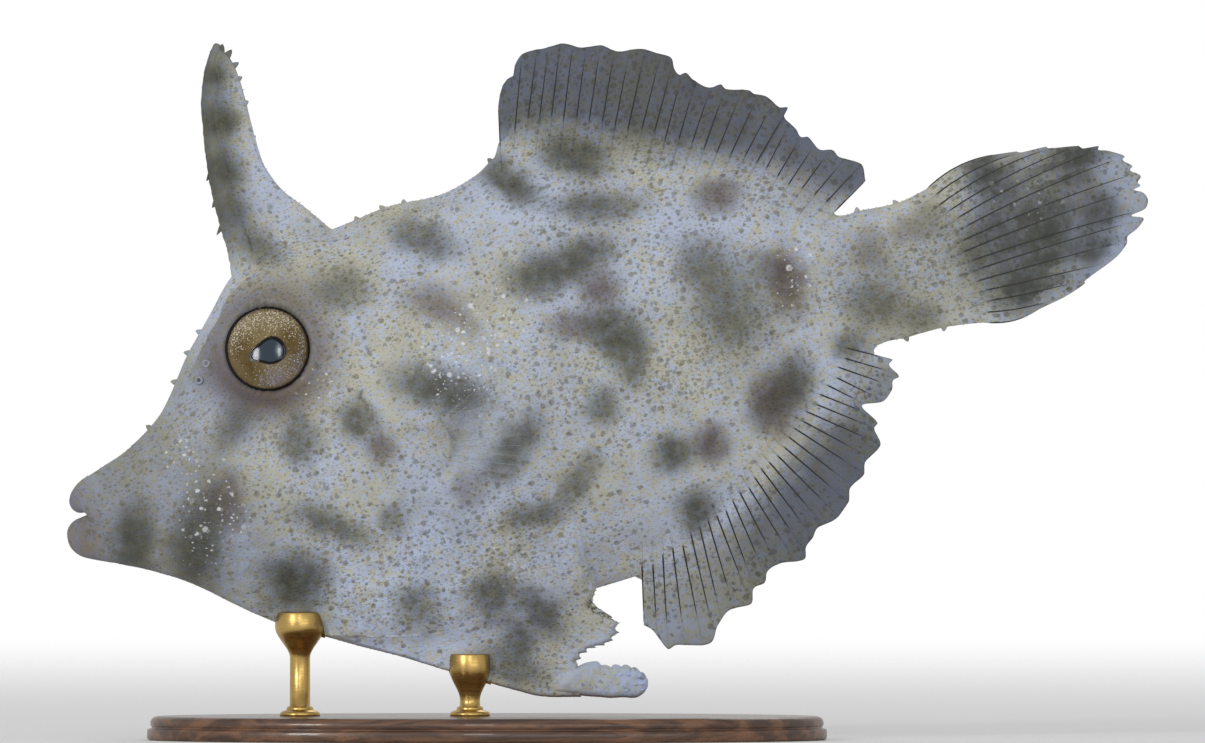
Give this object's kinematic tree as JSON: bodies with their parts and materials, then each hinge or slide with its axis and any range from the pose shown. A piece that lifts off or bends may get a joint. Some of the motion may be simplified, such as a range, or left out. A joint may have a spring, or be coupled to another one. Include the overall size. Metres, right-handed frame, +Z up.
{
  "type": "aiptasia-eating filefish",
  "caption": "Life-size filefish model: deep thin body, pointed snout, tall barbed spine with web, ridged fins and belly flap, on an oval stand with rods.",
  "frame": {"origin": "middle of the bounding box in plan, on the surface that the stand's base rests on", "axes": "+Z up; the fish faces -X, nose down, with its tail towards +X; +Y is the fish's right side"},
  "size_m": [0.1079, 0.038, 0.0697],
  "materials": {
    "skin": "velvety skin, pale blue-grey and beige, with blurred dark olive-grey blotches and fine speckles",
    "lip": "soft greyish mauve, slightly moist",
    "eye": "glossy, brown-gold iris with pale flecks and a grey pupil with a dark rim",
    "spine": "rough, banded dark and pale",
    "fin_membrane": "dark blue-grey membrane with darker rays",
    "tail_membrane": "blue-grey membrane with dark rays and blotches",
    "clear_membrane": "nearly clear membrane with fine pale rays",
    "base_wood": "dark walnut, satin varnish",
    "rod_brass": "brushed brass"
  },
  "bodies": {
    "root": {"head": "skin", "upper_lip": "lip", "lower_lip": "lip", "eye_left": "eye", "eye_right": "eye", "torso": "skin", "tail_stalk": "skin", "caudal_fin": "tail_membrane", "dorsal_spine": "spine", "spine_web": "skin", "soft_dorsal_fin": "fin_membrane", "anal_fin": "fin_membrane", "pectoral_fin_left": "clear_membrane", "pectoral_fin_right": "clear_membrane", "ventral_flap": "skin", "pelvic_tip": "skin", "stand_base": "base_wood", "stand_rod_front": "rod_brass", "stand_rod_rear": "rod_brass"}
  },
  "joints": []
}
